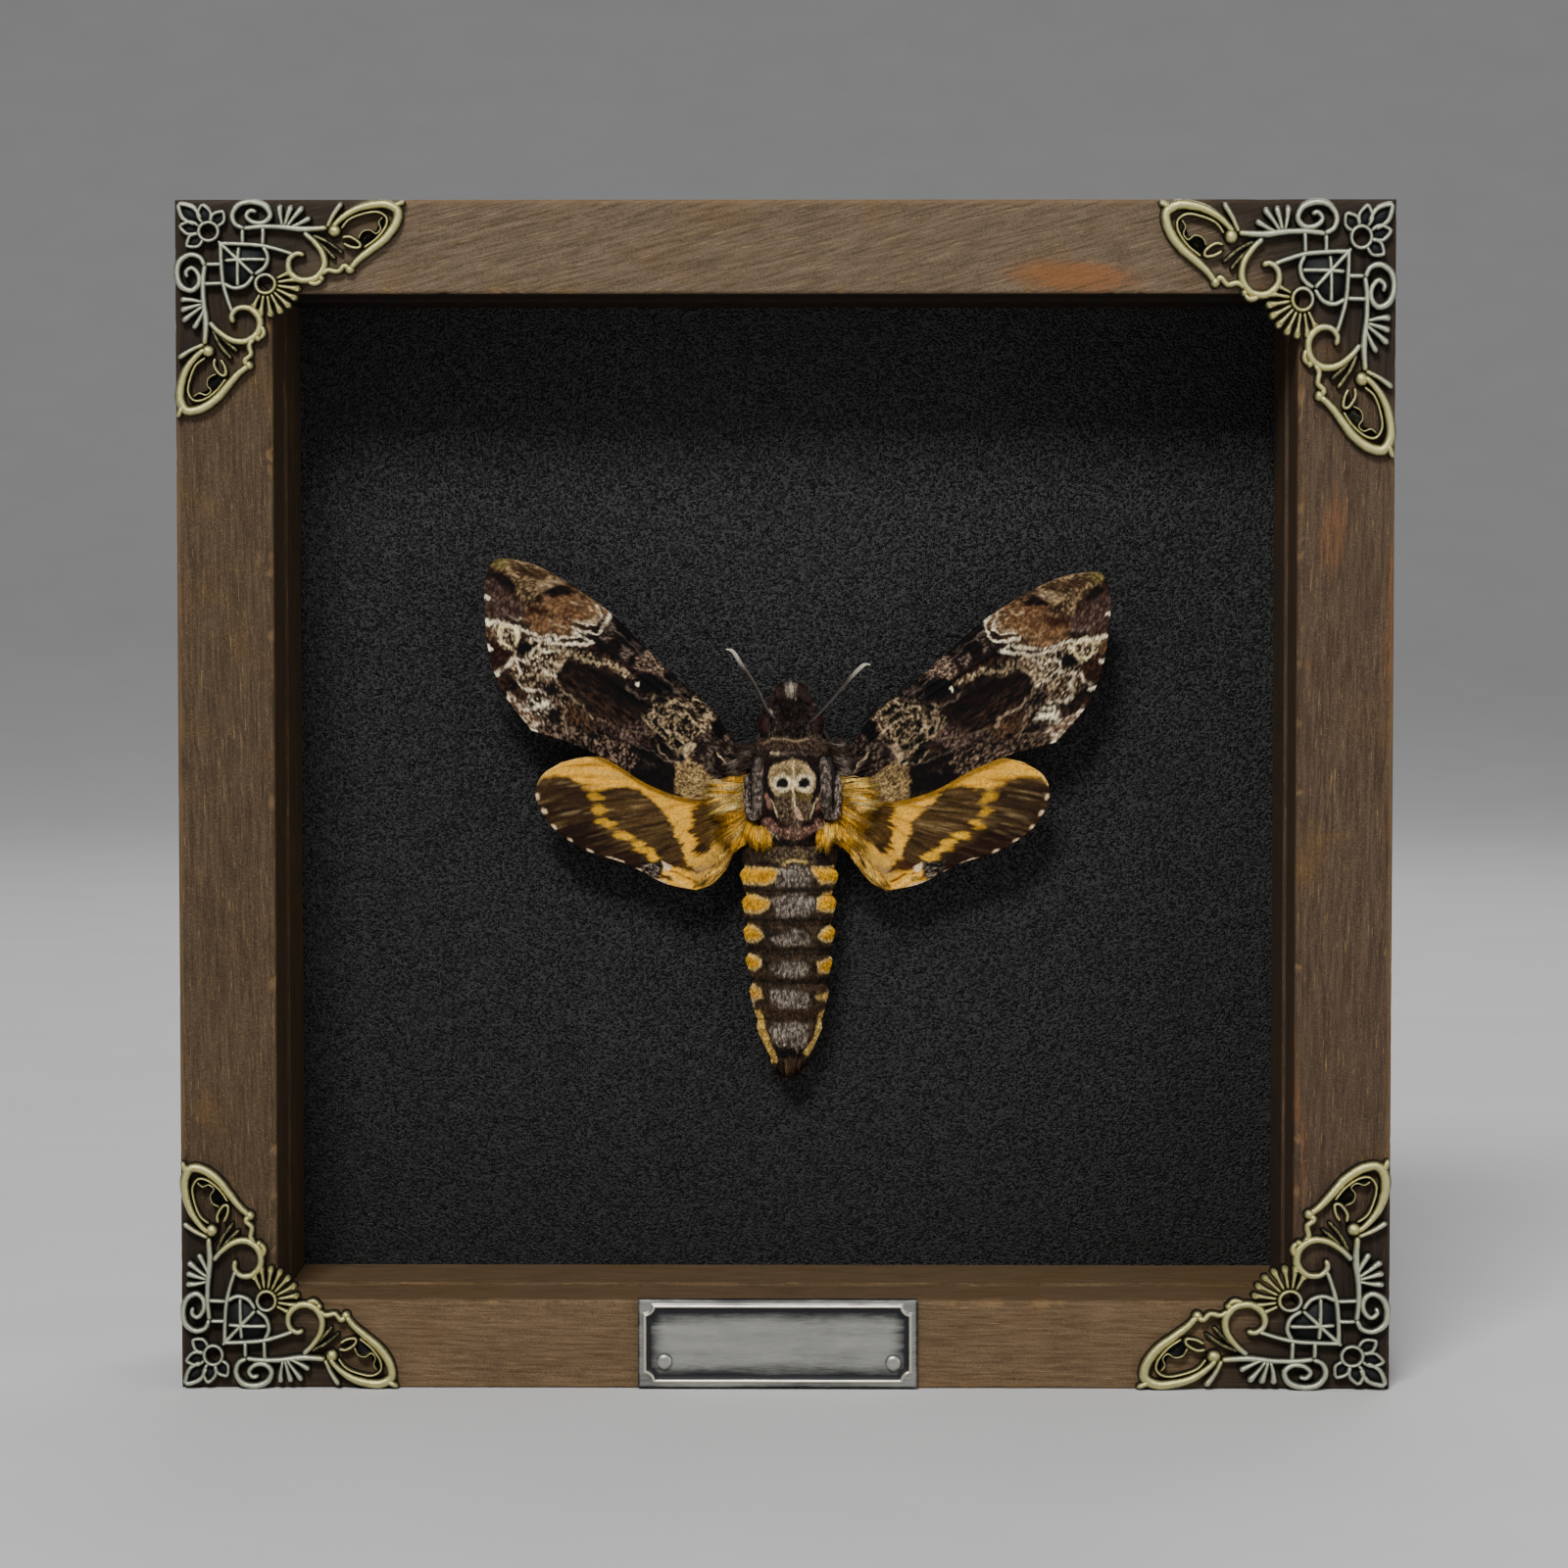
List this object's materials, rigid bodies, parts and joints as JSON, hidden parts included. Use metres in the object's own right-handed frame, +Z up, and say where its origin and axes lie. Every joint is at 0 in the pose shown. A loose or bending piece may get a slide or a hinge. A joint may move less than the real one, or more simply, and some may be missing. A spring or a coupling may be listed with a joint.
{
  "type": "mounted death's head hawkmoth in a shadow box",
  "caption": "Death's head hawkmoth with spread wings, mounted in a deep open wooden case with filigree metal corners and a bare nameplate.",
  "frame": {"origin": "middle of the case's underside, half way between its foremost and rearmost points", "axes": "+X to the right as seen from the open front, +Y towards the back, +Z up; the open front faces -Y"},
  "size_m": [0.2, 0.049, 0.196],
  "materials": {
    "wood": "dark weathered stain",
    "leatherette": "pebbled black",
    "fibreboard": "raw brown board",
    "steel": "zinc plated",
    "aged_brass": "antique, dark in the recesses",
    "aged_pewter": "antique brushed",
    "cork": "cork",
    "head_fur": "dense short fur",
    "eye": "satin",
    "dark_shell": "fine scales",
    "thorax_fur": "dense fur with the pale skull mark",
    "abdomen_fur": "yellow and black banded fur with a grey middle",
    "forewing_scales": "mottled brown, cream and black scales",
    "hindwing_scales": "yellow scales with two brown bands"
  },
  "bodies": {
    "root": {"rail_top": "wood", "rail_bottom": "wood", "rail_left": "wood", "rail_right": "wood", "backing_panel": "leatherette", "back_board": "fibreboard", "board_point_1": "steel", "board_point_2": "steel", "board_point_3": "steel", "board_point_4": "steel", "sawtooth_hanger": "steel", "corner_top_left": "aged_brass", "corner_top_right": "aged_brass", "corner_bottom_left": "aged_brass", "corner_bottom_right": "aged_brass", "nameplate": "aged_pewter", "nameplate_pin_left": "aged_pewter", "nameplate_pin_right": "aged_pewter", "mounting_block": "cork", "head": "head_fur", "eye_left": "eye", "eye_right": "eye", "antenna_left": "dark_shell", "antenna_right": "dark_shell", "palp_left": "head_fur", "palp_right": "head_fur", "proboscis": "dark_shell", "collar": "head_fur", "thorax": "thorax_fur", "tegula_left": "thorax_fur", "tegula_right": "thorax_fur", "abdomen_1": "abdomen_fur", "abdomen_2": "abdomen_fur", "abdomen_3": "abdomen_fur", "abdomen_4": "abdomen_fur", "abdomen_5": "abdomen_fur", "abdomen_6": "abdomen_fur", "abdomen_7": "abdomen_fur", "abdomen_8": "abdomen_fur", "forewing_left": "forewing_scales", "forewing_right": "forewing_scales", "hindwing_left": "hindwing_scales", "hindwing_right": "hindwing_scales", "leg_front_left": "dark_shell", "leg_front_right": "dark_shell", "leg_mid_left": "dark_shell", "leg_mid_right": "dark_shell", "leg_hind_left": "dark_shell", "leg_hind_right": "dark_shell"}
  },
  "joints": []
}
